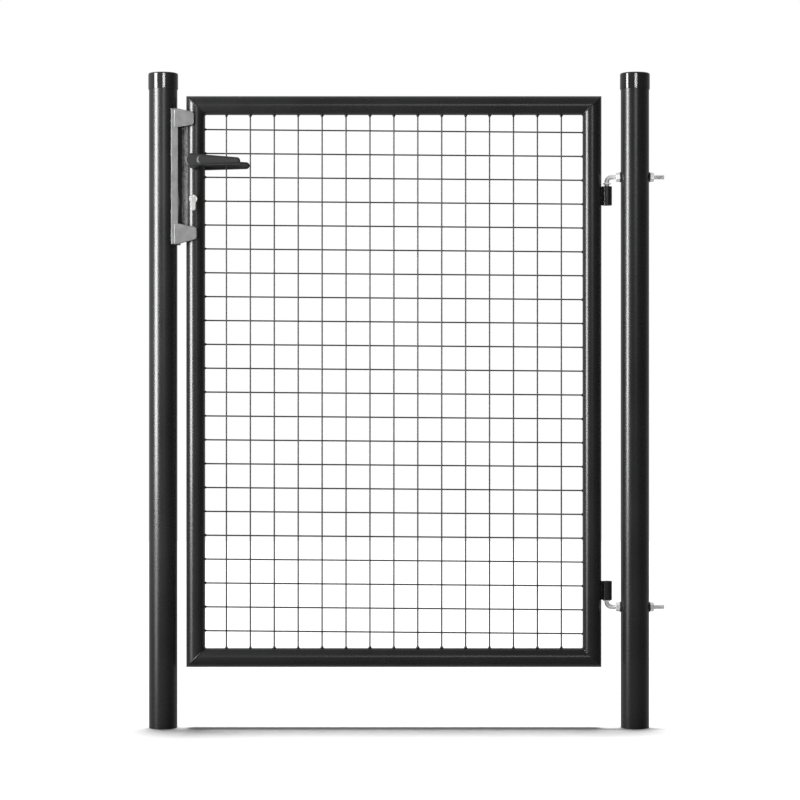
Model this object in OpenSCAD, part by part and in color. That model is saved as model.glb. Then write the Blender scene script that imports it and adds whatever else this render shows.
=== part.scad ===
// Single-leaf garden gate: two round posts, a welded tube leaf filled with wire mesh,
// two adjustable hook hinges, a narrow lock with lever handles and a keep on the latch post.
// X runs along the fence from the latch post to the hinge post, Y points to the rear, Z is up.
// The origin is on the ground, in the middle of the gate's overall box. Millimetres.

/* [Gateway] */
// Distance between the axes of the two posts
post_pitch = 1000; // [800:10:1400]
// Outer diameter of a post
post_d = 60; // [56:1:80]
// Wall of a post
post_wall = 2; // [1.5:0.1:3]
// Height of a post's rim above the leaf's top
post_over = 46; // [10:1:400]
// Top thickness of a post cap, above the rim
cap_top = 2.5; // [2:0.5:4]
// Wall of a cap's skirt
cap_wall = 1.4; // [1:0.1:2]
// Height of a cap's skirt, below the rim
cap_skirt = 31.5; // [20:0.5:50]
// Rounding of a cap's top edge
cap_round = 3.2; // [1:0.1:3.8]

/* [Leaf] */
// Height of the leaf frame
leaf_h = 1210; // [900:5:1900]
// Ground clearance under the leaf
leaf_lift = 128; // [60:1:160]
// Gap between the latch post and the leaf
latch_gap = 19; // [17:0.5:24]
// Gap between the hinge post and the leaf
hinge_gap = 41; // [38:1:60]
// Outer diameter of the frame tube
tube_d = 40; // [38:1:50]
// Wall of the frame tube
tube_wall = 2; // [1.5:0.1:2.5]

/* [Mesh] */
// Diameter of a mesh wire
wire_d = 3; // [2:0.1:5]
// Distance between upright wires
upright_pitch = 50.7; // [40:0.1:100]
// Distance between cross wires
cross_pitch = 50.6; // [40:0.1:100]
// Smallest gap between a frame tube and the first wire
mesh_margin = 30; // [20:1:60]
// Rise of the cross wires from the hinge side to the latch side
mesh_rise = 6.4; // [0:0.1:10]

/* [Hinges] */
// Diameter of the hook bolt's rod and pin
pin_d = 10; // [8:0.5:14]
// Radial play of the pin in its barrel
pin_play = 0.08; // [0.03:0.01:0.1]
// Outer diameter of a hinge barrel
barrel_d = 22; // [18:0.5:26]
// Height of a hinge barrel
barrel_h = 40; // [30:1:50]
// Width of the weld web between barrel and stile
weld_w = 8; // [5:0.5:10]
// Height of the lower barrel's bottom above the leaf's bottom
lower_barrel_up = 142.5; // [100:0.5:300]
// Depth of the upper barrel's top below the leaf's top
upper_barrel_down = 191.5; // [100:0.5:300]
// Bend radius of the hook bolt's centre line
bend_r = 10.5; // [9:0.5:14]
// Diameter of the collar on the pin
collar_d = 17.5; // [15:0.5:20]
// Height of the collar's cylindrical rim
collar_rim = 1.4; // [1:0.1:3]
// Height of the cone between the collar's rim and the bend
collar_cone = 2.6; // [2:0.1:4]
// Lift that the upper collar leaves to the leaf
lift_play = 4.7; // [2:0.1:8]
// Width across flats of the M10 nut
nut_af = 17; // [13:0.5:22]
// Thickness of the nut
nut_t = 8; // [6:0.5:12]
// Diameter of the sealing washer
washer_d = 21; // [18:0.5:26]
// Thickness of the sealing washer
washer_t = 2; // [1:0.1:3]
// Length of bolt end that stands out of the outer nut
bolt_end = 22; // [10:1:40]

/* [Lock] */
// Depth of the lever spindle below the leaf's top
spindle_down = 140.3; // [130:0.1:500]
// Distance from the spindle down to the cylinder's plug axis
lock_centres = 79.5; // [72:0.5:92]
// Distance from the faceplate's face to the spindle axis
backset = 25.6; // [25:0.1:30]
// Distance that the faceplate stands proud of the stile
face_proud = 8.7; // [6:0.1:10]
// Width of the faceplate
face_w = 24; // [22:0.5:26]
// Thickness of the faceplate
face_t = 3; // [2:0.1:3]
// Height of the faceplate
face_h = 246; // [236:1:280]
// Distance that the faceplate's middle stands above the lock case's middle
face_up = 5; // [0:0.5:10]
// Width of the lock case
case_w = 16; // [15:0.5:18]
// Thickness of the lock case's sheet
case_t = 1.5; // [1:0.1:2]
// Width of the spindle's square
spindle_w = 8; // [7:0.5:9]
// Height of the latch bolt's head
latch_h = 20; // [16:1:24]
// Travel of the latch bolt
latch_throw = 9.5; // [8:0.1:10]
// Turn of the levers, in degrees
lever_swing = 40; // [30:1:45]
// Height of the dead bolt
dead_h = 24; // [18:1:26]
// Travel of the dead bolt
dead_throw = 18; // [12:0.5:20]
// Width of the two bolts
bolt_w = 11; // [9:0.5:12]
// Length of the profile cylinder
cyl_l = 60; // [58:1:80]
// Diameter of the profile cylinder's head
cyl_head_d = 17; // [17:0.5:17]
// Width of the profile cylinder's web
cyl_web = 10; // [10:0.5:10]
// Overall height of the profile cylinder
cyl_h = 33; // [33:0.5:33]
// Diameter of the plug
plug_d = 13; // [12:0.5:14]
// Reach of the cam from the plug axis
cam_reach = 15; // [14:0.5:15.5]

/* [Levers] */
// Diameter of a lever's hub
hub_d = 29; // [24:0.5:32]
// Length of the front lever from the spindle axis to its tip
front_lever_l = 101; // [90:1:140]
// Length of the rear lever from the spindle axis to its tip
rear_lever_l = 114; // [90:1:140]
// Height of a lever's grip at its tip
tip_h = 14.6; // [12:0.1:20]
// Distance from the leaf's middle plane to the grip's inner side
grip_in = 50; // [46:1:60]
// Thickness of the grip
grip_t = 15; // [12:0.5:18]
// Drop of the grip's tip below the spindle's height
tip_drop = 1.7; // [0:0.1:4]
// Diameter of a rosette
rosette_d = 30; // [26:1:34]

/* [Keep] */
// Height of the keep
keep_h = 286; // [270:1:320]
// Distance that the keep's top stands above the faceplate's top
keep_over = 16.3; // [12:0.1:24]
// Thickness of the keep's web over the post
keep_web = 5.1; // [4:0.1:6]
// Clearance between the stile's front and the stop tongues
stop_play = 0.6; // [0.4:0.1:1]
// Thickness of the stop tongues
tongue_t = 3.8; // [3:0.1:5]
// Height of the upper tongue at its root
upper_root = 39; // [30:1:50]
// Height of the upper tongue at its tip
upper_tip = 26; // [16:1:30]
// Drop of the upper tongue's top edge from its root to its tip
upper_drop = 7.6; // [4:0.1:9]
// Distance that the upper tongue laps over the stile's edge
upper_lap = 18; // [10:1:24]
// Height of the lower tongue at its root
lower_root = 43; // [30:1:50]
// Height of the lower tongue at its tip
lower_tip = 24; // [16:1:30]
// Rise of the lower tongue's bottom edge from its root to its tip
lower_rise = 11.2; // [5:0.1:14]
// Distance that the lower tongue laps over the stile's edge
lower_lap = 23.8; // [10:1:26]
// Gap between the keep's insert and the faceplate
insert_gap = 0.8; // [0.5:0.1:1.5]

/* [Hidden] */
$fn = 64;
eps = 0.01;

// Overall box: the cap's edge on one side, the bolt ends on the other
cap_d = post_d + 2 * cap_wall + 0.2;
cap_play = 0.1;
hook_reach = post_d / 2 + washer_t + nut_t + bolt_end;
mid_shift = (hook_reach - cap_d / 2) / 2;
latch_post_x = -post_pitch / 2 - mid_shift;
hinge_post_x = post_pitch / 2 - mid_shift;

// Leaf
post_r = post_d / 2;
tube_r = tube_d / 2;
leaf_x0 = latch_post_x + post_r + latch_gap;
leaf_x1 = hinge_post_x - post_r - hinge_gap;
leaf_z0 = leaf_lift;
leaf_z1 = leaf_lift + leaf_h;
post_h = leaf_z1 + post_over;
latch_stile_x = leaf_x0 + tube_r;
hinge_stile_x = leaf_x1 - tube_r;
bottom_rail_z = leaf_z0 + tube_r;
top_rail_z = leaf_z1 - tube_r;

// Mesh
inner_w = leaf_x1 - leaf_x0 - 2 * tube_d;
inner_h = leaf_h - 2 * tube_d;
upright_gaps = floor((inner_w - 2 * mesh_margin) / upright_pitch);
cross_gaps = floor((inner_h - 2 * mesh_margin) / cross_pitch);
mesh_mid_x = (leaf_x0 + leaf_x1) / 2;
mesh_mid_z = (leaf_z0 + leaf_z1) / 2;
mesh_tilt = atan(mesh_rise / inner_w);

// Hinges
hinge_x = leaf_x1 + barrel_d / 2 + 0.3;
lower_barrel_z = leaf_z0 + lower_barrel_up;
upper_barrel_z = leaf_z1 - upper_barrel_down - barrel_h;
collar_h = collar_rim + collar_cone;
collar_neck = 0.6;
lower_leg_z = lower_barrel_z - collar_h - collar_neck - bend_r;
upper_leg_z = upper_barrel_z + barrel_h + lift_play + collar_h + collar_neck + bend_r;
pin_short = 2;
bolt_hole_play = 0.25;
inner_nut_x = hinge_post_x - post_r - washer_t - nut_t;
outer_nut_x = hinge_post_x + post_r + washer_t;

// Lock
spindle_z = leaf_z1 - spindle_down;
face_x = leaf_x0 - face_proud;
spindle_x = face_x + backset;
cyl_z = spindle_z - lock_centres;
tube_bore_r = tube_r - tube_wall;
case_x0 = face_x + face_t;
case_x1 = latch_stile_x + sqrt(pow(tube_bore_r, 2) - pow(case_w / 2, 2)) - 1;
case_below = 38;
case_above = 52;
case_z0 = cyl_z - case_below;
case_z1 = spindle_z + case_above;
case_y = case_w / 2;
face_z0 = (case_z0 + case_z1 - face_h) / 2 + face_up;
flange_end_x = latch_stile_x - sqrt(pow(tube_r, 2) - pow(face_w / 2, 2));
face_screw_z = [face_z0 + 12, face_z0 + face_h - 12];
boss_d = 14;
run_play = 0.1;
slide_play = 0.3;
follower_d = 18;
arm_r = latch_throw * 180 / PI / lever_swing;
arm_tip_r = 3;
lug_t = 3.4;
latch_z = spindle_z + arm_r + arm_tip_r + 0.9 + latch_h / 2;
lug_x = spindle_x + arm_tip_r + 0.3;
latch_tail_x = lug_x + lug_t;
spring_d = 6;
spring_wire = 0.8;
spring_turns = 8;
spring_x0 = spindle_x - 12;
spring_x1 = case_x1 - case_t;
dead_z = cyl_z + 13 + dead_h / 2;
dead_guide = 21;
dead_tail_x = face_x + dead_throw + dead_guide;
talon_x = spindle_x - 1;
pillar_d = 7;
case_screw_at = [
    [case_x0 + 20, case_z0 + 6.5],
    [case_x0 + 15, (dead_z + dead_h / 2 + spindle_z - follower_d / 2) / 2],
    [case_x0 + 20, case_z1 - 6.5]
];
cam_w = 10;
cyl_screw_z = cyl_z - 20;

// Levers
rosette_out = tube_r + 6;
spigot_d = 16;
neck_d = 20;
socket_depth = 12;

// Keep
keep_top = face_z0 + face_h + keep_over;
keep_bottom = keep_top - keep_h;
keep_y = tube_r + stop_play + tongue_t;
keep_x1 = latch_post_x + post_r + keep_web;
keep_x0 = latch_post_x + sqrt(pow(post_r, 2) - pow(keep_y, 2));
insert_x1 = face_x - insert_gap;
insert_seat = 3;
insert_w = 26;
insert_end = 20;
tongue_back = 9;
tongue_step = 0.8;
wall_y = keep_y - tongue_step;
keep_screw_z = [keep_bottom + 10, keep_top - 10];
slot_play = 1;

coat = "#2b2c2e";
zinc = "#b9bcc0";
cast = "#a4a6a8";
black = "#1c1c1e";

// Shared shapes

// Upright tube standing on the XY plane
module tube(d, wall, h) {
    difference() {
        cylinder(d = d, h = h);
        translate([0, 0, -1]) cylinder(d = d - 2 * wall, h = h + 2);
    }
}

// Rod along +X from x0 to x1
module rod_x(d, x0, x1) {
    translate([x0, 0, 0]) rotate([0, 90, 0]) cylinder(d = d, h = x1 - x0);
}

// Rod along +Y from y0 to y1
module rod_y(d, y0, y1) {
    translate([0, y0, 0]) rotate([-90, 0, 0]) cylinder(d = d, h = y1 - y0);
}

// Box between two corners
module box(low, high) {
    translate(low) cube(high - low);
}

// Hexagon nut along +X with chamfered corners and a plain bore
module hex_nut(af, t, bore) {
    corner_d = af / cos(30);
    chamfer = (corner_d - af) / 2;
    difference() {
        intersection() {
            rotate([0, 90, 0]) cylinder(d = corner_d, h = t, $fn = 6);
            rotate([0, 90, 0]) rotate_extrude()
                polygon([
                    [0, 0], [af / 2, 0], [af / 2 + chamfer + 0.2, chamfer / 2 + 0.1],
                    [af / 2 + chamfer + 0.2, t - chamfer / 2 - 0.1], [af / 2, t], [0, t]
                ]);
        }
        rod_x(bore, -1, t + 1);
    }
}

// Countersunk screw: its flat face lies at the origin and the shank runs along +X
module csk_screw(d, head_d, l) {
    socket_af = d * 0.6;
    difference() {
        rotate([0, 90, 0]) rotate_extrude()
            polygon([[0, 0], [head_d / 2, 0], [head_d / 2, 0.4], [d / 2, 0.4 + (head_d - d) / 2],
                [d / 2, l], [0, l]]);
        translate([-1, 0, 0]) rotate([0, 90, 0])
            cylinder(d = socket_af / cos(30), h = 1 + d * 0.45, $fn = 6);
    }
}

// Hole for a countersunk screw, open towards -X
module csk_hole(d, head_d, l) {
    rotate([0, 90, 0]) rotate_extrude()
        polygon([[0, -1], [head_d / 2, -1], [head_d / 2, 0.4], [d / 2, 0.4 + (head_d - d) / 2],
            [d / 2, l], [0, l]]);
}

// Posts and caps

// Round post, before its holes are cut
module plain_post(x) {
    translate([x, 0, 0]) tube(post_d, post_wall, post_h);
}

// Opening that a bolt enters, with its own play all round
module bolt_slot(x0, x1, z, h) {
    box([x0, -bolt_w / 2 - slot_play, z - h / 2 - slot_play],
        [x1, bolt_w / 2 + slot_play, z + h / 2 + slot_play]);
}

module latch_post() {
    color(coat) difference() {
        plain_post(latch_post_x);
        bolt_slot(latch_post_x, latch_post_x + post_d, latch_z, latch_h);
        bolt_slot(latch_post_x, latch_post_x + post_d, dead_z, dead_h);
        for (z = keep_screw_z)
            translate([0, 0, z]) rod_x(8, latch_post_x, latch_post_x + post_d);
    }
}

module hinge_post() {
    color(coat) difference() {
        plain_post(hinge_post_x);
        for (z = [lower_leg_z, upper_leg_z])
            translate([0, 0, z])
                rod_x(pin_d + 2 * bolt_hole_play, hinge_post_x - post_d, hinge_post_x + post_d);
    }
}

// Push-on cap with a rounded top edge and a plain skirt
module post_cap(x) {
    bore_r = post_r + cap_play;
    r = cap_d / 2;
    color(black) translate([x, 0, post_h]) rotate_extrude()
        difference() {
            union() {
                translate([0, -cap_skirt]) square([r, cap_skirt + cap_top - cap_round]);
                square([r - cap_round, cap_top]);
                translate([r - cap_round, cap_top - cap_round]) intersection() {
                    circle(r = cap_round);
                    square(cap_round);
                }
            }
            translate([-1, -cap_skirt - 1]) square([bore_r + 1, cap_skirt + 1]);
        }
}

module latch_post_cap() {
    post_cap(latch_post_x);
}

module hinge_post_cap() {
    post_cap(hinge_post_x);
}

// Keep on the latch post

// Outline of a stop tongue in XZ: it leaves the keep at x = 0, its corners are rounded
module tongue_outline(reach, root_z0, root_z1, tip_z0, tip_z1, corner) {
    slope_up = (root_z1 - tip_z1) / reach;
    slope_down = (tip_z0 - root_z0) / reach;
    polygon([
        [-tongue_back, root_z0], [0, root_z0],
        [reach - corner, tip_z0 - corner * slope_down],
        [reach - corner * 0.3, tip_z0 + corner * 0.3],
        [reach, tip_z0 + corner],
        [reach, tip_z1 - corner],
        [reach - corner * 0.3, tip_z1 - corner * 0.3],
        [reach - corner, tip_z1 + corner * slope_up],
        [0, root_z1], [-tongue_back, root_z1]
    ]);
}

// Stop tongue: a plate that stands a step proud of the keep and reaches in front of the stile
module tongue(reach, root_z0, root_z1, tip_z0, tip_z1) {
    translate([keep_x1, -keep_y + tongue_t, 0]) rotate([90, 0, 0])
        linear_extrude(tongue_t)
            tongue_outline(reach, root_z0, root_z1, tip_z0, tip_z1, 4);
}

module keep_body() {
    edge = 2;
    color(cast) difference() {
        union() {
            translate([0, 0, keep_bottom]) linear_extrude(keep_h)
                polygon([
                    [keep_x0, -wall_y], [keep_x1 - edge, -wall_y], [keep_x1, -wall_y + edge],
                    [keep_x1, wall_y - edge], [keep_x1 - edge, wall_y], [keep_x0, wall_y]
                ]);
            tongue(leaf_x0 + upper_lap - keep_x1, keep_top - upper_root, keep_top,
                keep_top - upper_drop - upper_tip, keep_top - upper_drop);
            tongue(leaf_x0 + lower_lap - keep_x1, keep_bottom, keep_bottom + lower_root,
                keep_bottom + lower_rise, keep_bottom + lower_rise + lower_tip);
        }
        translate([latch_post_x, 0, keep_bottom - 1]) cylinder(r = post_r, h = keep_h + 2);
        box([keep_x1 - insert_seat, -insert_w / 2, keep_bottom + insert_end],
            [keep_x1 + 1, insert_w / 2, keep_top - insert_end]);
        bolt_slot(latch_post_x, keep_x1 + 1, latch_z, latch_h);
        bolt_slot(latch_post_x, keep_x1 + 1, dead_z, dead_h);
        for (z = keep_screw_z)
            translate([keep_x1, 0, z]) rotate([0, 0, 180]) csk_hole(8, 15, 20);
    }
}

module keep_insert() {
    color(black) difference() {
        box([keep_x1 - insert_seat, -insert_w / 2, keep_bottom + insert_end],
            [insert_x1, insert_w / 2, keep_top - insert_end]);
        bolt_slot(latch_post_x, insert_x1 + 1, latch_z, latch_h);
        bolt_slot(latch_post_x, insert_x1 + 1, dead_z, dead_h);
    }
}

module keep_screws() {
    color(zinc) for (z = keep_screw_z)
        translate([keep_x1, 0, z]) rotate([0, 0, 180]) csk_screw(8, 15, 14);
}

// Hook bolts, on the hinge post

// L-shaped bolt: the leg lies at leg_z and the pin runs up from it, or down where flipped.
// A forged collar, a cone with a flat rim, stands just above the bend
module hook_bolt(leg_z, pin_l, flip) {
    root_r = pin_d / 2 - 0.2;
    color(zinc) translate([hinge_x, 0, leg_z]) mirror([0, 0, flip ? 1 : 0]) {
        rod_x(pin_d, bend_r, outer_nut_x + nut_t + bolt_end - hinge_x);
        translate([bend_r, 0, bend_r]) rotate([-90, 0, 0]) rotate([0, 0, 90])
            rotate_extrude(angle = 90) translate([bend_r, 0]) circle(d = pin_d);
        translate([0, 0, bend_r]) cylinder(d = pin_d, h = pin_l - bend_r);
        translate([0, 0, bend_r + collar_neck]) rotate_extrude()
            polygon([[0, 0], [root_r, 0], [collar_d / 2, collar_cone],
                [collar_d / 2, collar_h], [0, collar_h]]);
    }
}

module lower_hook_bolt() {
    hook_bolt(lower_leg_z, lower_barrel_z + barrel_h - pin_short - lower_leg_z, false);
}

module upper_hook_bolt() {
    hook_bolt(upper_leg_z, upper_leg_z - upper_barrel_z - pin_short, true);
}

module hook_nuts(z) {
    color(zinc) for (x = [inner_nut_x, outer_nut_x])
        translate([x, 0, z]) hex_nut(nut_af, nut_t, pin_d);
}

module upper_hook_nuts() {
    hook_nuts(upper_leg_z);
}

module lower_hook_nuts() {
    hook_nuts(lower_leg_z);
}

// Washers that are moulded to lie on the round post
module hook_washers(z) {
    color(black) difference() {
        for (x = [inner_nut_x + nut_t, outer_nut_x - washer_t - 2])
            translate([0, 0, z]) rod_x(washer_d, x, x + washer_t + 2);
        translate([hinge_post_x, 0, z - washer_d]) cylinder(r = post_r, h = 2 * washer_d);
        translate([0, 0, z]) rod_x(pin_d, inner_nut_x, outer_nut_x + nut_t);
    }
}

module upper_hook_washers() {
    hook_washers(upper_leg_z);
}

module lower_hook_washers() {
    hook_washers(lower_leg_z);
}

// Leaf frame: four tubes, mitred at 45 degrees and welded

// Trapezium that cuts an upright tube to its mitres
module stile_mitre(x_out, x_in) {
    translate([0, tube_d, 0]) rotate([90, 0, 0]) linear_extrude(2 * tube_d)
        polygon([[x_out, leaf_z0], [x_out, leaf_z1], [x_in, leaf_z1 - tube_d],
            [x_in, leaf_z0 + tube_d]]);
}

// Trapezium that cuts a level tube to its mitres
module rail_mitre(z_out, z_in) {
    translate([0, tube_d, 0]) rotate([90, 0, 0]) linear_extrude(2 * tube_d)
        polygon([[leaf_x0, z_out], [leaf_x1, z_out], [leaf_x1 - tube_d, z_in],
            [leaf_x0 + tube_d, z_in]]);
}

module latch_stile() {
    color(coat) difference() {
        intersection() {
            translate([latch_stile_x, 0, leaf_z0]) tube(tube_d, tube_wall, leaf_h);
            stile_mitre(leaf_x0, leaf_x0 + tube_d);
        }
        box([leaf_x0 - 1, -case_y - slide_play, case_z0 - 1],
            [latch_stile_x, case_y + slide_play, case_z1 + 1]);
        translate([spindle_x, 0, spindle_z]) rod_y(boss_d, -tube_d, tube_d);
        translate([spindle_x, 0, cyl_z]) rod_y(cyl_head_d + 0.6, -tube_d, tube_d);
        cylinder_web(0.3, tube_d);
        for (z = face_screw_z)
            translate([0, 0, z]) rod_x(6, leaf_x0 - 1, latch_stile_x);
    }
}

module hinge_stile() {
    color(coat) intersection() {
        translate([hinge_stile_x, 0, leaf_z0]) tube(tube_d, tube_wall, leaf_h);
        stile_mitre(leaf_x1, leaf_x1 - tube_d);
    }
}

module rail_tube(z) {
    translate([leaf_x0, 0, z]) rotate([0, 90, 0]) tube(tube_d, tube_wall, leaf_x1 - leaf_x0);
}

module top_rail() {
    color(coat) intersection() {
        rail_tube(top_rail_z);
        rail_mitre(leaf_z1, leaf_z1 - tube_d);
    }
}

module bottom_rail() {
    color(coat) intersection() {
        rail_tube(bottom_rail_z);
        rail_mitre(leaf_z0, leaf_z0 + tube_d);
    }
}

// Wire mesh: the uprights lie in front of the cross wires and touch them

module upright_wires() {
    color(coat) difference() {
        for (i = [0 : upright_gaps])
            translate([mesh_mid_x + (i - upright_gaps / 2) * upright_pitch, -wire_d / 2,
                bottom_rail_z])
                cylinder(d = wire_d, h = top_rail_z - bottom_rail_z, $fn = 24);
        for (z = [bottom_rail_z, top_rail_z])
            translate([0, 0, z]) rod_x(tube_d, leaf_x0, leaf_x1);
    }
}

module cross_wires() {
    color(coat) difference() {
        translate([mesh_mid_x, wire_d / 2, mesh_mid_z]) rotate([0, mesh_tilt, 0])
            for (i = [0 : cross_gaps])
                translate([0, 0, (i - cross_gaps / 2) * cross_pitch])
                    rotate([0, 90, 0])
                        cylinder(d = wire_d, h = inner_w + tube_d, center = true, $fn = 24);
        for (x = [latch_stile_x, hinge_stile_x])
            translate([x, 0, leaf_z0]) cylinder(d = tube_d, h = leaf_h);
    }
}

// Hinge barrel with the weld web that joins it to the stile
module barrel(z) {
    color(coat) difference() {
        union() {
            translate([hinge_x, 0, z]) cylinder(d = barrel_d, h = barrel_h);
            box([leaf_x1 - tube_r / 2, -weld_w / 2, z + 2],
                [hinge_x, weld_w / 2, z + barrel_h - 2]);
        }
        translate([hinge_x, 0, z - 1]) cylinder(d = pin_d + 2 * pin_play, h = barrel_h + 2);
        translate([hinge_stile_x, 0, z - 1]) cylinder(d = tube_d, h = barrel_h + 2);
    }
}

module upper_barrel() {
    barrel(upper_barrel_z);
}

module lower_barrel() {
    barrel(lower_barrel_z);
}

// Lock

// Web of the profile cylinder, grown by a play and run to a half length
module cylinder_web(play, half_l) {
    web_z = cyl_z - cyl_h + cyl_head_d / 2 + cyl_web / 2;
    box([spindle_x - cyl_web / 2 - play, -half_l, web_z],
        [spindle_x + cyl_web / 2 + play, half_l, cyl_z]);
    translate([spindle_x, 0, web_z]) rod_y(cyl_web + 2 * play, -half_l, half_l);
}

module lock_case() {
    color(zinc) difference() {
        union() {
            difference() {
                box([case_x0, -case_y, case_z0], [case_x1, case_y - case_t, case_z1]);
                box([case_x0 + case_t, -case_y + case_t, case_z0 + case_t],
                    [case_x1 - case_t, case_y, case_z1 - case_t]);
            }
            for (p = case_screw_at)
                translate([p[0], 0, p[1]]) rod_y(pillar_d, -case_y + eps, case_y - case_t);
        }
        for (p = case_screw_at)
            translate([p[0], 0, p[1]]) rod_y(3, -2, case_y);
        translate([spindle_x, 0, spindle_z]) rod_y(boss_d + 2 * run_play, -case_w, case_w);
        translate([spindle_x, 0, cyl_z]) rod_y(cyl_head_d + 0.6, -case_w, case_w);
        cylinder_web(0.3, case_w);
        lock_bolt_slots(case_x0 - 1, case_x0 + case_t + 1);
        translate([0, 0, cyl_screw_z]) rod_x(5.4, case_x0 - 1, case_x0 + case_t + 1);
    }
}

// Guides for the two bolts, through the case's edge or the faceplate
module lock_bolt_slots(x0, x1) {
    guide_y = bolt_w / 2 + slide_play;
    box([x0, -guide_y, latch_z - latch_h / 2 - slide_play],
        [x1, guide_y, latch_z + latch_h / 2 + slide_play]);
    box([x0, -guide_y, dead_z - dead_h / 2 - slide_play],
        [x1, guide_y, dead_z + dead_h / 2 + slide_play]);
}

module lock_cover() {
    color(zinc) difference() {
        box([case_x0, case_y - case_t, case_z0], [case_x1, case_y, case_z1]);
        for (p = case_screw_at)
            translate([p[0], 0, p[1]]) rod_y(3.2, 0, case_w);
        translate([spindle_x, 0, spindle_z]) rod_y(boss_d + 2 * run_play, -case_w, case_w);
        translate([spindle_x, 0, cyl_z]) rod_y(cyl_head_d + 0.6, -case_w, case_w);
        cylinder_web(0.3, case_w);
    }
}

module case_screws() {
    head_d = 5.4;
    head_t = 1.2;
    color(zinc) for (p = case_screw_at)
        translate([p[0], 0, p[1]]) difference() {
            union() {
                rod_y(3, -2, case_y);
                rod_y(head_d, case_y, case_y + head_t);
            }
            box([-0.4, case_y + head_t / 2, -head_d], [0.4, case_y + head_t + 1, head_d]);
        }
}

// Folded faceplate: its two flanges reach back to the stile
module lock_faceplate() {
    flange_t = 2;
    color(zinc) difference() {
        box([face_x, -face_w / 2, face_z0], [latch_stile_x, face_w / 2, face_z0 + face_h]);
        box([face_x + face_t, -face_w / 2 + flange_t, face_z0 - 1],
            [latch_stile_x + 1, face_w / 2 - flange_t, face_z0 + face_h + 1]);
        translate([latch_stile_x, 0, face_z0 - 1]) cylinder(r = tube_r, h = face_h + 2);
        lock_bolt_slots(face_x - 1, case_x0 + 1);
        for (z = face_screw_z)
            translate([face_x, 0, z]) csk_hole(6, 11.5, 10);
        translate([face_x, 0, cyl_screw_z]) csk_hole(5, 9.5, 10);
    }
}

module faceplate_screws() {
    color(zinc) for (z = face_screw_z)
        translate([face_x, 0, z]) csk_screw(6, 11.5, 20);
}

module cylinder_screw() {
    color(zinc) translate([face_x, 0, cyl_screw_z]) csk_screw(5, 9.5, backset + 3);
}

// Rosette that sits on the round stile and carries the lever's spigot
module rosette(side) {
    color(black) mirror([0, side > 0 ? 0 : 1, 0]) difference() {
        union() {
            translate([spindle_x, 0, spindle_z]) rod_y(rosette_d, tube_r / 2, rosette_out - 2);
            translate([spindle_x, 0, spindle_z]) rod_y(rosette_d - 3, tube_r / 2, rosette_out);
        }
        translate([latch_stile_x, 0, spindle_z - rosette_d]) cylinder(r = tube_r, h = 2 * rosette_d);
        translate([spindle_x, 0, spindle_z]) rod_y(spigot_d + 2 * run_play, 0, rosette_out + 1);
        box([leaf_x0 - tube_d, 0, face_z0],
            [flange_end_x + slide_play, face_w / 2 + slide_play, face_z0 + face_h]);
    }
}

module front_rosette() {
    rosette(-1);
}

module rear_rosette() {
    rosette(1);
}

module cylinder_body() {
    half_l = cyl_l / 2;
    web_end = cyl_z - cam_reach - 0.6;
    color("#c9cacb") difference() {
        union() {
            translate([spindle_x, 0, cyl_z]) rod_y(cyl_head_d, -half_l, half_l);
            cylinder_web(0, half_l);
        }
        translate([spindle_x, 0, cyl_z]) rod_y(plug_d + 2 * run_play, -half_l - 1, half_l + 1);
        box([spindle_x - cyl_head_d, -cam_w / 2 - 0.3, web_end],
            [spindle_x + cyl_head_d, cam_w / 2 + 0.3, cyl_z + cyl_head_d]);
        translate([0, 0, cyl_screw_z]) rod_x(5, spindle_x - cyl_web, spindle_x + cyl_web);
    }
}

// Turning parts of the profile cylinder

module cylinder_plugs() {
    half_l = cyl_l / 2;
    color("#b5a36a") for (side = [-1, 1])
        mirror([0, side > 0 ? 0 : 1, 0]) translate([spindle_x, 0, cyl_z]) difference() {
            union() {
                rod_y(plug_d, cam_w / 2, half_l);
                rod_y(plug_d - 3, half_l - eps, half_l + 0.5);
            }
            box([-0.6, half_l - 22, -plug_d / 2 + 2.2], [0.6, half_l + 1, plug_d / 2 - 2.4]);
            box([-1.7, half_l - 22, 0.4], [0.6, half_l + 1, 1.6]);
        }
}

module cylinder_cam() {
    color(zinc) translate([spindle_x, 0, cyl_z]) difference() {
        union() {
            rod_y(cyl_head_d - 0.6, -cam_w / 2, cam_w / 2);
            box([-2.5, -cam_w / 2, -cam_reach + 1], [2.5, cam_w / 2, 0]);
            translate([0, 0, -cam_reach + 2.5]) rod_y(5, -cam_w / 2, cam_w / 2);
        }
        rod_y(6, -cam_w, cam_w);
    }
}

// Bolts

module latch_bolt() {
    head_l = 16;
    tip_x = face_x - latch_throw;
    tail_h = 11;
    color(zinc) difference() {
        union() {
            intersection() {
                box([tip_x, -bolt_w / 2, latch_z - latch_h / 2],
                    [tip_x + head_l, bolt_w / 2, latch_z + latch_h / 2]);
                translate([0, 0, latch_z - latch_h]) linear_extrude(2 * latch_h)
                    polygon([[tip_x, bolt_w / 2], [tip_x, bolt_w / 2 - 2.5],
                        [face_x, -bolt_w / 2], [latch_tail_x, -bolt_w / 2],
                        [latch_tail_x, bolt_w / 2]]);
            }
            box([tip_x + head_l, -bolt_w / 2, latch_z - latch_h / 2],
                [latch_tail_x, bolt_w / 2, latch_z - latch_h / 2 + tail_h]);
            box([lug_x, -bolt_w / 2, latch_z - latch_h / 2 - 6],
                [latch_tail_x, bolt_w / 2, latch_z - latch_h / 2 + 1]);
        }
        translate([0, 0, latch_z - latch_h / 2 + tail_h / 2])
            rod_x(spring_d + 1, spring_x0, latch_tail_x + 1);
    }
}

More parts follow.
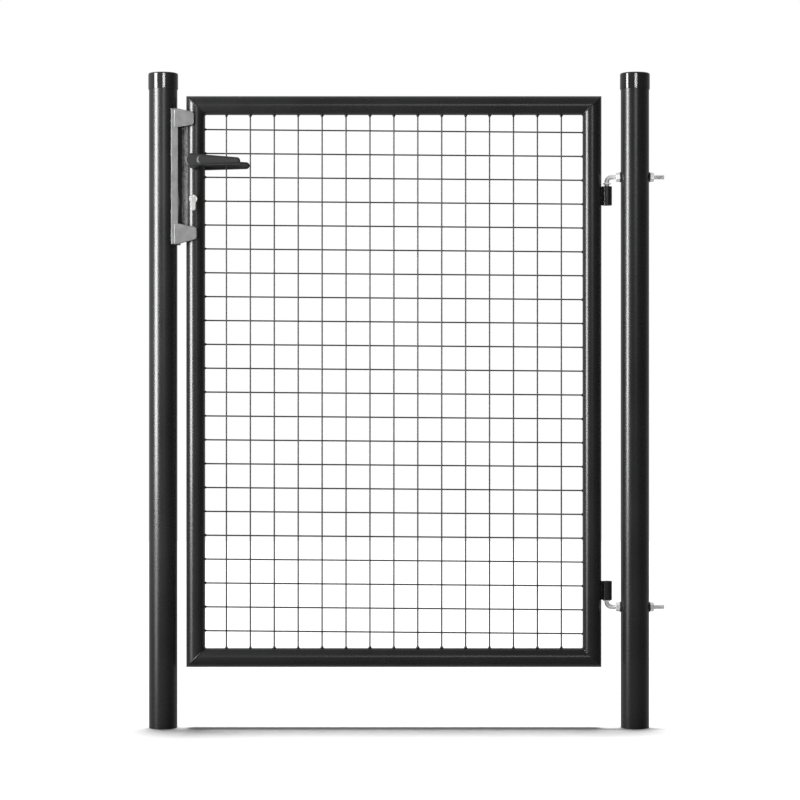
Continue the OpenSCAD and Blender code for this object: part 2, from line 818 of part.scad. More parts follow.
// Round wire wound to a coil, swept as one closed tube
module latch_spring() {
    sides = 5;
    steps_per_turn = 10;
    steps = spring_turns * steps_per_turn;
    coil_r = (spring_d - spring_wire) / 2;
    run = spring_x1 - spring_x0 - spring_wire;
    lead = atan(run / spring_turns / (2 * PI * coil_r));
    function ring(i) = let (a = 360 * i / steps_per_turn) [for (s = [0 : sides - 1])
        let (b = 360 * s / sides, out = coil_r + spring_wire / 2 * cos(b))
        [spring_wire / 2 + run * i / steps + spring_wire / 2 * sin(b) * cos(lead),
            out * cos(a) + spring_wire / 2 * sin(b) * sin(lead) * sin(a),
            out * sin(a) - spring_wire / 2 * sin(b) * sin(lead) * cos(a)]];
    points = [for (i = [0 : steps]) each ring(i)];
    walls = [for (i = [0 : steps - 1], s = [0 : sides - 1])
        let (a = i * sides + s, b = i * sides + (s + 1) % sides)
        each [[a, b, b + sides], [a, b + sides, a + sides]]];
    first_end = [for (s = [1 : sides - 2]) [0, s + 1, s]];
    last = steps * sides;
    last_end = [for (s = [1 : sides - 2]) [last, last + s, last + s + 1]];
    color(zinc) translate([spring_x0, 0, latch_z - latch_h / 2 + 5.5])
        polyhedron(points, concat(walls, first_end, last_end));
}

module dead_bolt() {
    color(zinc) difference() {
        box([face_x, -bolt_w / 2, dead_z - dead_h / 2], [dead_tail_x, bolt_w / 2, dead_z + dead_h / 2]);
        box([talon_x, -bolt_w / 2 - 1, dead_z - dead_h / 2 - 1],
            [dead_tail_x + 1, bolt_w / 2 + 1, cyl_z + cam_reach + 0.6]);
    }
}

// Levers, spindle and follower

// Follower: a hub that runs in the case, a square hole, and an arm under the latch's lug
module follower() {
    inner_y = case_y - case_t - 0.4;
    color(zinc) translate([spindle_x, 0, spindle_z]) difference() {
        union() {
            rod_y(follower_d, -inner_y, inner_y);
            rod_y(boss_d, -case_y, case_y);
            box([-arm_tip_r + 0.2, -inner_y, 0], [arm_tip_r - 0.2, inner_y, arm_r]);
            translate([0, 0, arm_r]) rod_y(2 * arm_tip_r, -inner_y, inner_y);
        }
        box([-spindle_w / 2 - 0.05, -case_w, -spindle_w / 2 - 0.05],
            [spindle_w / 2 + 0.05, case_w, spindle_w / 2 + 0.05]);
    }
}

module spindle() {
    end_y = rosette_out + socket_depth;
    color(zinc) translate([spindle_x, 0, spindle_z])
        box([-spindle_w / 2, -end_y, -spindle_w / 2], [spindle_w / 2, end_y, spindle_w / 2]);
}

// Lever towards +Y: spigot, neck, a flat hub and a thicker tapered grip that runs along +X
module lever(l) {
    hub_t = grip_t - 5;
    grub_y = rosette_out + 7;
    root_x = hub_d * 0.72;
    root_d = hub_d - 6;
    soft = 4;
    difference() {
        union() {
            rod_y(spigot_d, tube_r + 1, rosette_out + 2);
            rod_y(neck_d, rosette_out + 0.3, grip_in + hub_t / 2);
            hull() {
                lever_disc(0, 0, hub_d, hub_t, soft);
                lever_disc(root_x, 0, root_d, hub_t, soft);
            }
            hull() {
                lever_disc(root_x, 0, root_d, grip_t, soft);
                lever_disc(l - tip_h / 2, -tip_drop, tip_h, grip_t - 3, soft);
            }
        }
        box([-spindle_w / 2 - 0.05, 0, -spindle_w / 2 - 0.05],
            [spindle_w / 2 + 0.05, rosette_out + socket_depth + 0.5, spindle_w / 2 + 0.05]);
        translate([0, grub_y, -neck_d]) cylinder(d = 5, h = neck_d);
    }
}

// Round part of a lever: its inner side lies at the grip's inner side
module lever_disc(x, z, d, t, r) {
    translate([x, grip_in + t / 2, z]) rotate([-90, 0, 0]) rounded_disc(d, t, r);
}

// Disc about the Z axis with rounded edges
module rounded_disc(d, t, r) {
    rotate_extrude($fn = 32) {
        translate([0, -t / 2]) square([d / 2 - r, t]);
        translate([0, -t / 2 + r]) square([d / 2, t - 2 * r]);
        for (z = [-t / 2 + r, t / 2 - r])
            translate([d / 2 - r, z]) intersection() {
                circle(r = r, $fn = 20);
                translate([0, -r]) square([r, 2 * r]);
            }
    }
}

module front_lever() {
    color(black) translate([spindle_x, 0, spindle_z]) mirror([0, 1, 0]) lever(front_lever_l);
}

module rear_lever() {
    color(black) translate([spindle_x, 0, spindle_z]) lever(rear_lever_l);
}

module lever_grub_screws() {
    grub_y = rosette_out + 7;
    color(zinc) for (side = [-1, 1])
        translate([spindle_x, side * grub_y, spindle_z - neck_d / 2 + 0.4]) difference() {
            cylinder(d = 5, h = neck_d / 2 - 0.4 - spindle_w / 2);
            translate([0, 0, -1]) cylinder(d = 2.9, h = 3, $fn = 6);
        }
}

latch_post();
hinge_post();
latch_post_cap();
hinge_post_cap();
keep_body();
keep_insert();
keep_screws();
upper_hook_bolt();
lower_hook_bolt();
upper_hook_nuts();
lower_hook_nuts();
upper_hook_washers();
lower_hook_washers();
latch_stile();
hinge_stile();
top_rail();
bottom_rail();
upright_wires();
cross_wires();
upper_barrel();
lower_barrel();
lock_case();
lock_cover();
case_screws();
lock_faceplate();
faceplate_screws();
front_rosette();
rear_rosette();
cylinder_body();
cylinder_screw();
front_lever();
rear_lever();
spindle();
follower();
lever_grub_screws();
latch_bolt();
latch_spring();
dead_bolt();
cylinder_plugs();
cylinder_cam();
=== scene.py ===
import math
import random

import bmesh
import bpy
from mathutils import Matrix, Vector


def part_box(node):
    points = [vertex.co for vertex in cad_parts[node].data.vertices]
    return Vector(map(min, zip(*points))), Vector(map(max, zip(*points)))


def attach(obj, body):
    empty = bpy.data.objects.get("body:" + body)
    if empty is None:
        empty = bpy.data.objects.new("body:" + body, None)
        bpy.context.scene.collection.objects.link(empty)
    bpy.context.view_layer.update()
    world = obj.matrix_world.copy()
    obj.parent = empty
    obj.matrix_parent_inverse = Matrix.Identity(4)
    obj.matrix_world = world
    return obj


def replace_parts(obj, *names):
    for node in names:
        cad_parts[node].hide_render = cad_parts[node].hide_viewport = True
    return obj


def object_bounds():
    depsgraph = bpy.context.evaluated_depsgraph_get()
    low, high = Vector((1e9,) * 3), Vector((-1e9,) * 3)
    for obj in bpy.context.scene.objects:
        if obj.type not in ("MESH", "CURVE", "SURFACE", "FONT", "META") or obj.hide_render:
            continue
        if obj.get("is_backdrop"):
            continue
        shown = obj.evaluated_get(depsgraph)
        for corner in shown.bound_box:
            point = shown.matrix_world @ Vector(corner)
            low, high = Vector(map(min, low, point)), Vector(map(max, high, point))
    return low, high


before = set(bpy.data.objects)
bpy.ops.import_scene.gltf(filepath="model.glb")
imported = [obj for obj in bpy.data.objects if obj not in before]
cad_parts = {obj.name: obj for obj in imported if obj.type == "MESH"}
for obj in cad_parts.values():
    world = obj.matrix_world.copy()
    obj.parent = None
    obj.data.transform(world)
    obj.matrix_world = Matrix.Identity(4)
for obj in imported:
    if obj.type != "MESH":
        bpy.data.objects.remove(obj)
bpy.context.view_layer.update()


# Posts: round steel tube, cut square and sunk in the ground.
# They are zinc-coated, then powder-coated anthracite: a dark satin skin with a fine orange peel.

class Shade:
    """The output of a shader node. Sums on it add Math nodes; node() adds any other kind of node."""

    def __init__(self, socket):
        self.socket = socket

    def node(self, kind, settings, sockets, out=0):
        tree = self.socket.id_data
        made = tree.nodes.new("ShaderNode" + kind)
        for name, setting in settings.items():
            setattr(made, name, setting)
        for name, value in sockets.items():
            if isinstance(value, Shade):
                tree.links.new(value.socket, made.inputs[name])
            else:
                made.inputs[name].default_value = value
        return Shade(made.outputs[out])

    def sum(self, operation, first, second):
        return self.node("Math", {"operation": operation}, {0: first, 1: second})

    def __add__(self, other):
        return self.sum("ADD", self, other)

    def __sub__(self, other):
        return self.sum("SUBTRACT", self, other)

    def __rsub__(self, other):
        return self.sum("SUBTRACT", other, self)

    def __mul__(self, other):
        return self.sum("MULTIPLY", self, other)

    __radd__ = __add__
    __rmul__ = __mul__

    def noise(self, grain, detail=2.0):
        """Soft noise of about one grain per so many metres, from 0 to 1."""
        return self.node("TexNoise", {}, {"Vector": self, "Scale": 1.0 / grain, "Detail": detail})

    def drawn(self, share):
        """The place with its Z times share, so that grain on it is drawn out along Z."""
        return self.node("Mapping", {}, {"Vector": self, "Scale": (1.0, 1.0, share)})

    def band(self, low, high, to_low=0.0, to_high=1.0):
        """The value rescaled from one range to another and held inside it."""
        return self.node("MapRange", {}, {
            "Value": self, "From Min": low, "From Max": high, "To Min": to_low, "To Max": to_high})

    def tones(self, dark, light):
        """Two colours mixed by the value."""
        return self.node("Mix", {"data_type": "RGBA"}, {0: self, 6: (*dark, 1.0), 7: (*light, 1.0)}, 2)


class Finish:
    """A surface finish: a principled shader whose fixed values are set on its own sockets."""

    def __init__(self, name, **fixed):
        self.material = bpy.data.materials.new(name)
        self.material.use_nodes = True
        tree = self.material.node_tree
        self.shader = tree.nodes["Principled BSDF"]
        self.place = Shade(tree.nodes.new("ShaderNodeTexCoord").outputs["Object"])
        for socket, value in fixed.items():
            self.shader.inputs[socket.replace("_", " ")].default_value = value

    def feed(self, **shades):
        for socket, shade in shades.items():
            tree = self.material.node_tree
            tree.links.new(shade.socket, self.shader.inputs[socket.replace("_", " ")])

    def relief(self, height, depth, edge):
        """A bumpy skin, depth metres deep, over edges that are rounded by edge metres."""
        rounded = self.place.node("Bevel", {"samples": 6}, {"Radius": edge})
        self.feed(Normal=self.place.node("Bump", {}, {
            "Strength": 1.0, "Distance": depth, "Height": height, "Normal": rounded}))

    def cover(self, *nodes):
        for node in nodes:
            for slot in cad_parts[node].material_slots:
                slot.material = self.material


anthracite = Finish("anthracite_powder_coat", Specular_IOR_Level=0.5)
peel = anthracite.place.noise(0.0011, 1.0)
clouds = anthracite.place.noise(0.16)
anthracite.feed(
    Base_Color=clouds.band(0.35, 0.65).tones((0.0105, 0.0106, 0.0109), (0.0140, 0.0141, 0.0144)),
    Roughness=clouds.band(0.3, 0.7, 0.235, 0.275) + peel.band(0.3, 0.7, 0.0, 0.03))
anthracite.relief(peel, 0.00003, 0.0005)
anthracite.cover("latch_post", "hinge_post")


# Post caps: one-piece injection-moulded black plastic, pushed over the rim.
# The mould is polished, so they shine more than the posts.

cap_plastic = Finish("cap_plastic", Specular_IOR_Level=0.5)
flow = cap_plastic.place.noise(0.02, 3.0)
cap_plastic.feed(
    Base_Color=flow.tones((0.012, 0.012, 0.013), (0.018, 0.018, 0.019)),
    Roughness=flow.band(0.3, 0.7, 0.07, 0.11))
cap_plastic.relief(cap_plastic.place.noise(0.0006), 0.000008, 0.0004)
cap_plastic.cover("latch_post_cap", "hinge_post_cap")


# Keep: a cast aluminium saddle that hugs the latch post, with two tongues that stop the leaf.
# It is shot-blasted to an even light grey and held to the post by two countersunk screws.

cast_grey = Finish("keep_cast_aluminium", Metallic=1.0)
blasted = cast_grey.place.noise(0.0009, 3.0)
pour = cast_grey.place.noise(0.022)
cast_grey.feed(
    Base_Color=pour.band(0.3, 0.7).tones((0.185, 0.185, 0.187), (0.25, 0.25, 0.252)),
    Roughness=blasted.band(0.3, 0.7, 0.5, 0.66))
cast_grey.relief(blasted + pour * 0.6, 0.00007, 0.0012)
cast_grey.cover("keep_body")


# Keep's insert: a black nylon strip, let into the saddle, that the latch bolt runs against.
# It is moulded with a dull, spark-eroded skin.

black_nylon = Finish("black_nylon")
eroded = black_nylon.place.noise(0.0005, 3.0)
black_nylon.feed(
    Base_Color=black_nylon.place.noise(0.01).tones((0.010, 0.010, 0.010), (0.017, 0.017, 0.018)),
    Roughness=eroded.band(0.3, 0.7, 0.42, 0.58))
black_nylon.relief(eroded, 0.00003, 0.0005)
black_nylon.cover("keep_insert", "front_rosette", "rear_rosette")


# Small screws and bolts of the lock: turned and pressed stainless steel.
# Their faces keep fine tool lines.

stainless = Finish("stainless_steel", Metallic=1.0)
lines = stainless.place.drawn(0.08).noise(0.0003, 3.0)
stainless.feed(
    Base_Color=lines.tones((0.50, 0.50, 0.50), (0.62, 0.62, 0.62)),
    Roughness=lines.band(0.3, 0.7, 0.24, 0.4))
stainless.relief(lines, 0.000008, 0.0003)
stainless.cover("keep_screws", "faceplate_screws", "cylinder_screw", "lever_grub_screws",
                "latch_bolt", "dead_bolt")


# Hook bolts: a steel rod with a rolled M10 thread, bent to a right angle, with a forged collar
# that the barrel rests on. They are bright zinc-plated and pass right through the hinge post.

rod_r = 0.005
pin_top = 0.004
bend_r = 0.0105
collar_r = 0.00875
collar_neck = 0.0006
collar_cone = 0.0026
collar_rim = 0.0014
collar_edge = 0.0003
thread_from = 0.018
thread_overlap = 0.0005
thread_pitch = 0.0015
thread_depth = 0.0008
thread_flat = thread_pitch * 0.12
thread_sides = 24
point_length = 0.0012
point_slope = 0.8

bright_zinc = Finish("bright_zinc", Metallic=0.6)
bloom = bright_zinc.place.noise(0.006, 4.0)
bright_zinc.feed(
    Base_Color=bloom.band(0.3, 0.7).tones((0.86, 0.86, 0.87), (0.97, 0.97, 0.98)),
    Roughness=bloom.band(0.3, 0.7, 0.30, 0.42))
bright_zinc.relief(bright_zinc.place.noise(0.0008), 0.000012, 0.0004)
bright_zinc.cover("upper_hook_nuts", "lower_hook_nuts")


def fitted(name, shape, finish, body, hard=None):
    """Turns a bmesh into a piece that moves with a body. Edges over hard degrees stay sharp."""
    bmesh.ops.recalc_face_normals(shape, faces=shape.faces)
    for face in shape.faces:
        face.smooth = True
    if hard:
        for edge in shape.edges:
            edge.smooth = len(edge.link_faces) < 2 or edge.calc_face_angle() < math.radians(hard)
    mesh = bpy.data.meshes.new(name)
    shape.to_mesh(mesh)
    shape.free()
    mesh.materials.append(finish.material)
    piece = bpy.data.objects.new(name, mesh)
    bpy.context.scene.collection.objects.link(piece)
    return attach(piece, body)


def edges_of(found):
    return [part for part in found["geom"] if isinstance(part, bmesh.types.BMEdge)]


def verts_of(found):
    return [part for part in found["geom"] if isinstance(part, bmesh.types.BMVert)]


def hook_bolt(node, turned_down):
    """The bolt is made with its pin up and its leg along X from the hinge's axis, then put in place."""
    low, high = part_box(node)
    pin = high.z - low.z - rod_r
    leg = high.x - low.x - collar_r
    bolt = bmesh.new()
    bmesh.ops.create_circle(bolt, cap_ends=True, segments=32, radius=rod_r,
                            matrix=Matrix.Translation((0, 0, pin)))
    ring = [edge for edge in bolt.edges if edge.is_boundary]
    for low_z in (pin - pin_top, bend_r):
        made = bmesh.ops.extrude_edge_only(bolt, edges=ring)
        bmesh.ops.translate(bolt, verts=verts_of(made), vec=(0, 0, low_z - verts_of(made)[0].co.z))
        ring = [edge for edge in edges_of(made) if edge.is_boundary]
    made = bmesh.ops.spin(bolt, geom=ring, cent=(bend_r, 0, bend_r), axis=(0, 1, 0),
                          angle=-math.pi / 2, steps=16)
    ring = [part for part in made["geom_last"] if isinstance(part, bmesh.types.BMEdge)]
    made = bmesh.ops.extrude_edge_only(bolt, edges=ring)
    bmesh.ops.translate(bolt, verts=verts_of(made), vec=(thread_from - bend_r, 0, 0))
    ring = [edge for edge in edges_of(made) if edge.is_boundary]
    bmesh.ops.edgeloop_fill(bolt, edges=ring)

    collar_top = collar_cone + collar_rim
    cone = [bolt.verts.new((radius, 0, z)) for radius, z in (
        (0, 0), (rod_r - 0.0004, 0), (collar_r - collar_edge, collar_cone - 0.0001),
        (collar_r, collar_cone + collar_edge), (collar_r, collar_top - collar_edge),
        (collar_r - collar_edge, collar_top), (0, collar_top))]
    bmesh.ops.translate(bolt, verts=cone, vec=(0, 0, bend_r + collar_neck))
    rim = [bolt.edges.new(pair) for pair in zip(cone, cone[1:])]
    bmesh.ops.spin(bolt, geom=cone + rim, cent=(0, 0, 0), axis=(0, 0, 1), angle=math.tau,
                   steps=40, use_merge=True)

    root_r = rod_r - thread_depth
    half = thread_pitch / 2
    turns = math.ceil((leg - thread_from) / thread_pitch) + 1
    profile = [bolt.verts.new((thread_from - thread_overlap + along, 0, radius)) for along, radius in (
        (0, root_r), (thread_flat, root_r), (half, rod_r), (half + thread_flat, rod_r),
        (thread_pitch, root_r))]
    crest = [bolt.edges.new(pair) for pair in zip(profile, profile[1:])]
    bmesh.ops.spin(bolt, geom=profile + crest, cent=(0, 0, 0), axis=(1, 0, 0),
                   dvec=(thread_pitch / thread_sides, 0, 0), angle=math.tau * turns,
                   steps=thread_sides * turns)
    bmesh.ops.remove_doubles(bolt, verts=bolt.verts, dist=0.00002)
    whole = bolt.verts[:] + bolt.edges[:] + bolt.faces[:]
    cut = bmesh.ops.bisect_plane(bolt, geom=whole, plane_co=(leg, 0, 0), plane_no=(1, 0, 0),
                                 clear_outer=True)
    bmesh.ops.edgeloop_fill(bolt, edges=[
        part for part in cut["geom_cut"] if isinstance(part, bmesh.types.BMEdge)])
    for vert in bolt.verts:
        past = max(0, vert.co.x - leg + point_length)
        radius = math.hypot(vert.co.y, vert.co.z)
        spare = radius - (rod_r - past * point_slope)
        if past > 0 and spare > 0:
            share = 1 - spare / radius
            vert.co.y *= share
            vert.co.z *= share

    if turned_down:
        bmesh.ops.scale(bolt, verts=bolt.verts, vec=(1, 1, -1))
    leg_z = high.z - rod_r if turned_down else low.z + rod_r
    bmesh.ops.translate(bolt, verts=bolt.verts, vec=(low.x + collar_r, 0, leg_z))
    piece = fitted(node + "_threaded", bolt, bright_zinc, "posts", 40)
    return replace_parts(piece, node)


hook_bolt("upper_hook_bolt", True)
hook_bolt("lower_hook_bolt", False)


# Sealing washers: black rubber, moulded to lie on the round post under each nut.
# They keep water out of the cross holes.

washer_rubber = Finish("washer_rubber")
skin = washer_rubber.place.noise(0.0007, 3.0)
washer_rubber.feed(
    Base_Color=skin.tones((0.012, 0.012, 0.012), (0.022, 0.022, 0.022)),
    Roughness=skin.band(0.3, 0.7, 0.6, 0.78))
washer_rubber.relief(skin, 0.00004, 0.0005)
washer_rubber.cover("upper_hook_washers", "lower_hook_washers")


# Leaf frame: four lengths of round steel tube, mitred at 45 degrees and welded all round.
# A rippled weld bead runs round each mitre, ground flat at the outer corner, under the posts' coat.

tube_r = 0.020
bead_r = 0.0016
bead_at = tube_r - 0.0006
ripple_count = 40
ripple = 0.16
drift = 0.05
ground_off = 0.85
anthracite.cover("latch_stile", "hinge_stile", "top_rail", "bottom_rail")

left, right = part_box("latch_stile")[0].x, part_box("hinge_stile")[1].x
foot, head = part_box("latch_stile")[0].z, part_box("latch_stile")[1].z
beads = bmesh.new()
for x, z, lean in ((left + tube_r, foot + tube_r, 45), (right - tube_r, foot + tube_r, -45),
                   (left + tube_r, head - tube_r, -45), (right - tube_r, head - tube_r, 45)):
    ring = bmesh.ops.create_circle(beads, segments=8, radius=bead_r, matrix=(
        Matrix.Translation((bead_at, 0, 0)) @ Matrix.Rotation(math.pi / 2, 4, "X")))["verts"]
    bmesh.ops.spin(beads, geom=ring + [edge for edge in beads.edges if edge.verts[0] in ring],
                   cent=(0, 0, 0), axis=(0, 0, 1), angle=math.tau, steps=120, use_merge=True)
    fresh = [vert for vert in beads.verts if vert.co.length < tube_r + 5 * bead_r]
    for vert in fresh:
        turn = math.atan2(vert.co.y, vert.co.x)
        swell = 1 + ripple * math.sin(ripple_count * turn) + drift * math.sin(7 * turn + x)
        swell *= 1 - ground_off * max(0.0, math.cos(turn) * math.copysign(1, x)) ** 3
        core = Vector((math.cos(turn), math.sin(turn), 0)) * bead_at
        vert.co = core + (vert.co - core) * swell
    bmesh.ops.scale(beads, verts=fresh, vec=(math.sqrt(2), 1, 1))
    bmesh.ops.rotate(beads, verts=fresh, matrix=Matrix.Rotation(math.radians(-lean), 3, "Y"))
    bmesh.ops.translate(beads, verts=fresh, vec=(x, 0, z))
fitted("mitre_weld_beads", beads, anthracite, "leaf")


# Mesh: drawn steel wire, upright wires in front and cross wires behind, resistance-welded at
# every crossing. Each end is tacked to the frame tube with a small blob of weld, then coated.

wire_r = 0.0015
upright_count = 15
cross_count = 22
cross_drop = 0.0064
nugget_r = 0.0019
upright_tack = {"radius1": 0.0048, "radius2": 0.0016, "depth": 0.0058}
cross_tack = {"radius1": 0.0036, "radius2": 0.0015, "depth": 0.0042}
upright_tack_at = tube_r + 0.0016
cross_tack_at = tube_r + 0.0009
anthracite.cover("upright_wires", "cross_wires")

low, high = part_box("upright_wires")
uprights = [low.x + wire_r + (high.x - low.x - 2 * wire_r) * i / (upright_count - 1)
            for i in range(upright_count)]
low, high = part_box("cross_wires")
fall = cross_drop / (right - left - 4 * tube_r)
middle_x = (left + right) / 2
spread = fall * (high.x - low.x) / 2 + wire_r
crosses = [low.z + spread + (high.z - low.z - 2 * spread) * i / (cross_count - 1)
           for i in range(cross_count)]

random.seed(4)
tacks = bmesh.new()


def tack(at, facing, sizes):
    """A small cone of weld that stands on the frame tube around a wire, a little uneven."""
    uneven = Matrix.Diagonal((random.uniform(0.85, 1.15), random.uniform(0.8, 1.1), 1, 1))
    bmesh.ops.create_cone(tacks, cap_ends=True, segments=10, **sizes,
                          matrix=Matrix.Translation(at) @ facing @ uneven)


for x in uprights:
    for z, way in ((foot + tube_r, 1), (head - tube_r, -1)):
        tack((x, -wire_r, z + way * upright_tack_at),
             Matrix.Rotation(0 if way > 0 else math.pi, 4, "X"), upright_tack)
for z in crosses:
    for x, way in ((left + tube_r, 1), (right - tube_r, -1)):
        tack((x + way * cross_tack_at, wire_r, z + fall * (middle_x - x)),
             Matrix.Rotation(way * math.pi / 2, 4, "Y"), cross_tack)
fitted("wire_end_tacks", tacks, anthracite, "leaf")

nuggets = bmesh.new()
for x in uprights:
    for z in crosses:
        place = Matrix.Translation((x, 0, z + fall * (middle_x - x))) @ Matrix.Diagonal((1, 0.75, 1, 1))
        bmesh.ops.create_icosphere(nuggets, subdivisions=1, radius=nugget_r, matrix=place)
fitted("crossing_weld_nuggets", nuggets, anthracite, "leaf")


# Hinge barrels: short lengths of thick tube, bored for the pin and welded to the hinge stile
# through a flat web, with a row of overlapping weld drops down each side.

drop_count = 13
drop_margin = 0.0035
drop_x = right - 0.0004
drop_y = 0.0042
drop_lean = 0.5
drop_wide = 0.0036
drop_thick = 0.0024
anthracite.cover("upper_barrel", "lower_barrel")

welds = bmesh.new()
for node in ("upper_barrel", "lower_barrel"):
    low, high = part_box(node)
    for side in (-1, 1):
        for drop in range(drop_count):
            z = low.z + drop_margin + (high.z - low.z - 2 * drop_margin) * drop / (drop_count - 1)
            z += random.uniform(-0.0003, 0.0003)
            size = (drop_wide, drop_thick, random.uniform(0.0019, 0.0024), 1)
            place = (Matrix.Translation((drop_x, side * drop_y, z))
                     @ Matrix.Rotation(drop_lean, 4, "Y") @ Matrix.Diagonal(size))
            bmesh.ops.create_icosphere(welds, subdivisions=2, radius=1.0, matrix=place)
fitted("barrel_welds", welds, anthracite, "leaf")


# Lock case: a narrow box of folded zinc-plated sheet steel with a lid on three screws.
# It sits inside the latch stile with its spring, follower and cam.

lock_steel = Finish("lock_steel", Metallic=1.0)
rolled = lock_steel.place.drawn(0.1).noise(0.001, 4.0)
lock_steel.feed(
    Base_Color=rolled.tones((0.42, 0.42, 0.41), (0.56, 0.56, 0.54)),
    Roughness=rolled.band(0.3, 0.7, 0.3, 0.45))
lock_steel.relief(rolled, 0.00001, 0.0002)
lock_steel.cover("lock_case", "lock_cover", "case_screws", "spindle", "follower", "latch_spring",
                 "cylinder_cam")


# Faceplate: a folded strip of hot-dip galvanised steel, screwed over the lock's edge.
# The zinc has set in dull crystals, so it looks mottled.

galvanised = Finish("galvanised_steel", Metallic=1.0)
crystals = galvanised.place.node("TexVoronoi", {"feature": "F1"}, {
    "Vector": galvanised.place, "Scale": 190.0, "Randomness": 1.0}, 1)
crystal = galvanised.place.node("SeparateColor", {}, {"Color": crystals}, 0)
smear = galvanised.place.drawn(0.25).noise(0.006, 4.0)
mottle = (crystal * 0.35 + smear * 0.65).band(0.25, 0.75)
galvanised.feed(
    Base_Color=mottle.tones((0.11, 0.11, 0.112), (0.36, 0.36, 0.365)),
    Roughness=(crystal * 0.5 + smear * 0.5).band(0.2, 0.8, 0.62, 0.4))
galvanised.relief(smear + crystal * 0.1, 0.00002, 0.0006)
galvanised.cover("lock_faceplate")


# Profile cylinder: a brass body, satin nickel-plated, with two turning plugs.
# Each plug's keyway is milled right along it.

satin_nickel = Finish("satin_nickel", Metallic=1.0)
brushed = satin_nickel.place.drawn(0.06).noise(0.00025, 2.0)
satin_nickel.feed(
    Base_Color=brushed.tones((0.84, 0.835, 0.82), (0.94, 0.935, 0.92)),
    Roughness=brushed.band(0.3, 0.7, 0.3, 0.42))
satin_nickel.relief(brushed, 0.000006, 0.0003)
satin_nickel.cover("cylinder_body", "cylinder_plugs")


# Lever handles: die-cast aluminium with a fine-textured anthracite coat, one on each side.
# A round hub carries a thicker, tapered grip with softly rounded edges; a grub screw holds each.

hub_r = 0.0145
hub_t = 0.010
hub_soft = 0.0035
grip_t = 0.015
grip_soft = 0.0048
grip_root_x = 0.0209
grip_root_r = 0.0115
tip_r = 0.0073
tip_drop = 0.0017
grip_in = 0.050
grip_proud = 0.0002
taper = 0.2
neck_rings = ((0, 0.021), (0.008, 0.021), (0.008, 0.0265), (0.0098, 0.0265),
              (0.010, 0.0268), (0.010, 0.0488), (0.0112, 0.0508), (0, 0.0508))

textured_coat = Finish("lever_textured_coat", Specular_IOR_Level=0.5)
stipple = textured_coat.place.noise(0.0008, 2.0)
textured_coat.feed(
    Base_Color=stipple.tones((0.013, 0.0132, 0.0136), (0.020, 0.0202, 0.0206)),
    Roughness=stipple.band(0.3, 0.7, 0.27, 0.4))
textured_coat.relief(stipple, 0.00006, 0.0005)


def pad(shape, round_at, thick, tip_x, tip_z, tip_at, soft):
    """A flat pad with soft edges: a disc whose right half is scaled to radius tip_at and moved."""
    ring = bmesh.ops.create_circle(shape, cap_ends=True, segments=64, radius=round_at,
                                   matrix=Matrix.Rotation(math.pi / 2, 4, "X"))["verts"]
    tip = [vert for vert in ring if vert.co.x > 1e-6]
    bmesh.ops.scale(shape, verts=tip, vec=(tip_at / round_at,) * 3)
    bmesh.ops.translate(shape, verts=tip, vec=(tip_x, 0, tip_z))
    far = verts_of(bmesh.ops.extrude_face_region(shape, geom=[ring[0].link_faces[0]]))
    bmesh.ops.translate(shape, verts=far, vec=(0, thick, 0))
    own = set(ring) | set(far)
    rims = [edge for edge in shape.edges if set(edge.verts) <= own
            and abs(edge.verts[0].co.y - edge.verts[1].co.y) < 1e-7]
    bmesh.ops.bevel(shape, geom=rims, offset=soft, offset_type="OFFSET", segments=8,
                    profile=0.5, affect="EDGES", material=-1, clamp_overlap=True)


def lever(node, side):
    """Hub, grip and neck are made for the rear side; the front one is the mirror image."""
    low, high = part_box(node)
    length = high.x - low.x - hub_r
    grip_x = length - tip_r - grip_root_x
    shape = bmesh.new()
    pad(shape, hub_r, hub_t, grip_root_x, 0, grip_root_r, hub_soft)
    bmesh.ops.translate(shape, verts=shape.verts, vec=(0, grip_in, 0))
    hub_verts = set(shape.verts)
    pad(shape, grip_root_r, grip_t + grip_proud, grip_x, -tip_drop, tip_r, grip_soft)
    grip = [vert for vert in shape.verts if vert not in hub_verts]
    bmesh.ops.translate(shape, verts=grip, vec=(grip_root_x, grip_in - grip_proud, 0))
    for vert in grip:
        along = max(0.0, min(1.0, (vert.co.x - grip_root_x) / grip_x))
        vert.co.y = grip_in + (vert.co.y - grip_in) * (1 - taper * along)
    neck = [shape.verts.new((radius, y, 0)) for radius, y in neck_rings]
    line = [shape.edges.new(pair) for pair in zip(neck, neck[1:])]
    bmesh.ops.spin(shape, geom=neck + line, cent=(0, 0, 0), axis=(0, 1, 0), angle=math.tau,
                   steps=48, use_merge=True)
    if side < 0:
        bmesh.ops.scale(shape, verts=shape.verts, vec=(1, -1, 1))
    bmesh.ops.translate(shape, verts=shape.verts, vec=(low.x + hub_r, 0, low.z + hub_r))
    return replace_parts(fitted(node + "_cast", shape, textured_coat, "handle", 35), node)


lever("front_lever", -1)
lever("rear_lever", 1)


# The stand: a white studio floor, just under the feet of the posts.
# It isn't part of the gate.

floor_down = 0.0004
floor = bmesh.new()
bmesh.ops.create_grid(floor, x_segments=2, y_segments=2, size=7.0,
                      matrix=Matrix.Translation((0, 0, -floor_down)))
floor_mesh = bpy.data.meshes.new("studio_floor")
floor.to_mesh(floor_mesh)
floor.free()
paper = Finish("white_floor", Roughness=0.9, Specular_IOR_Level=0.1)
paper.feed(Base_Color=paper.place.noise(0.02).tones((0.73, 0.73, 0.73), (0.75, 0.75, 0.75)))
floor_mesh.materials.append(paper.material)
studio_floor = bpy.data.objects.new("studio_floor", floor_mesh)
bpy.context.scene.collection.objects.link(studio_floor)
studio_floor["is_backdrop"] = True
studio_floor.visible_glossy = False


# Light: a tall softbox near the gate on the left with a dim one under it, a thin bar behind the
# camera, and soft light from above. The room is dark in front of the gate and white behind it.

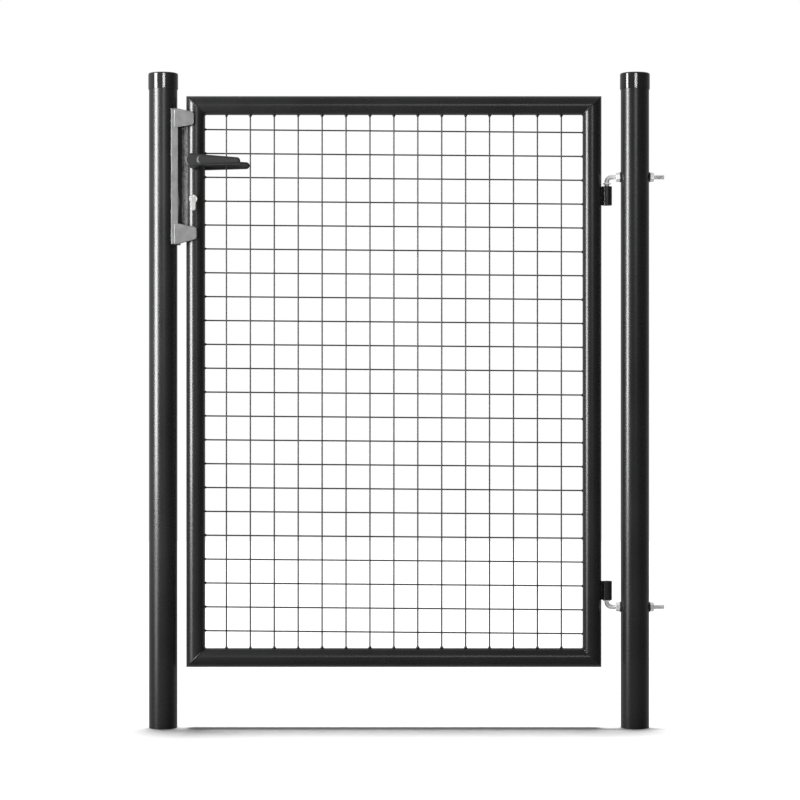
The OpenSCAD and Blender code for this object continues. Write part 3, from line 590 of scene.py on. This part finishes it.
def softbox(name, azimuth, away, height, size, power):
    """A standing softbox that faces the gate from an azimuth, in degrees, right of the camera."""
    light = bpy.data.lights.new(name, "AREA")
    light.shape = "RECTANGLE"
    light.size, light.size_y = size
    light.energy = power
    box = bpy.data.objects.new(name, light)
    turn = math.radians(azimuth)
    box.location = (away * math.sin(turn), -away * math.cos(turn), height)
    box.rotation_euler = (math.pi / 2, 0, turn)
    box.visible_camera = False
    bpy.context.scene.collection.objects.link(box)
    return box


left_box = softbox("left_softbox", -62, 1.95, 1.33, (0.62, 1.74), 91)
low_box = softbox("low_softbox", -62, 1.95, 0.19, (0.62, 0.5), 4)
bar_box = softbox("bar_softbox", 6, 7.0, 2.27, (2.2, 0.12), 33)

above = bpy.data.lights.new("overhead", "SUN")
above.energy = 4.8
above.angle = math.radians(9)
overhead = bpy.data.objects.new("overhead", above)
overhead.rotation_euler = (math.radians(-4), 0, 0)
overhead.visible_glossy = False
bpy.context.scene.collection.objects.link(overhead)

shy = bpy.data.collections.new("not_lit_by_softboxes")
shy.objects.link(studio_floor)
shy.collection_objects[0].light_linking.link_state = "EXCLUDE"
for box in (left_box, low_box, bar_box):
    box.light_linking.receiver_collection = shy

world = bpy.data.worlds.new("studio")
bpy.context.scene.world = world
world.use_nodes = True
backdrop = world.node_tree.nodes["Background"]
way = Shade(world.node_tree.nodes.new("ShaderNodeTexCoord").outputs["Generated"])
front_light = 0.09
back_light = 0.42
behind = way.node("SeparateXYZ", {}, {0: way}, 1).band(-0.2, 0.7, front_light, back_light)
seen = way.node("LightPath", {}, {}, 0)
strength = seen + (1 - seen) * behind
world.node_tree.links.new(strength.socket, backdrop.inputs["Strength"])
backdrop.inputs["Color"].default_value = (1.0, 1.0, 1.0, 1.0)
bpy.context.scene.view_settings.view_transform = "Standard"


# Camera: level, a little over five metres back, at about the middle of the leaf's height.
# Its long lens keeps the upright tubes nearly parallel.

camera = bpy.data.cameras.new("camera")
camera.lens = 112.5
camera.sensor_width = 36.0
camera.clip_end = 60.0
view = bpy.data.objects.new("camera", camera)
view.location = (-0.01325, -5.3, 0.694)
view.rotation_euler = (math.pi / 2, 0, 0)
bpy.context.scene.collection.objects.link(view)
bpy.context.scene.camera = view

low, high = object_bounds()
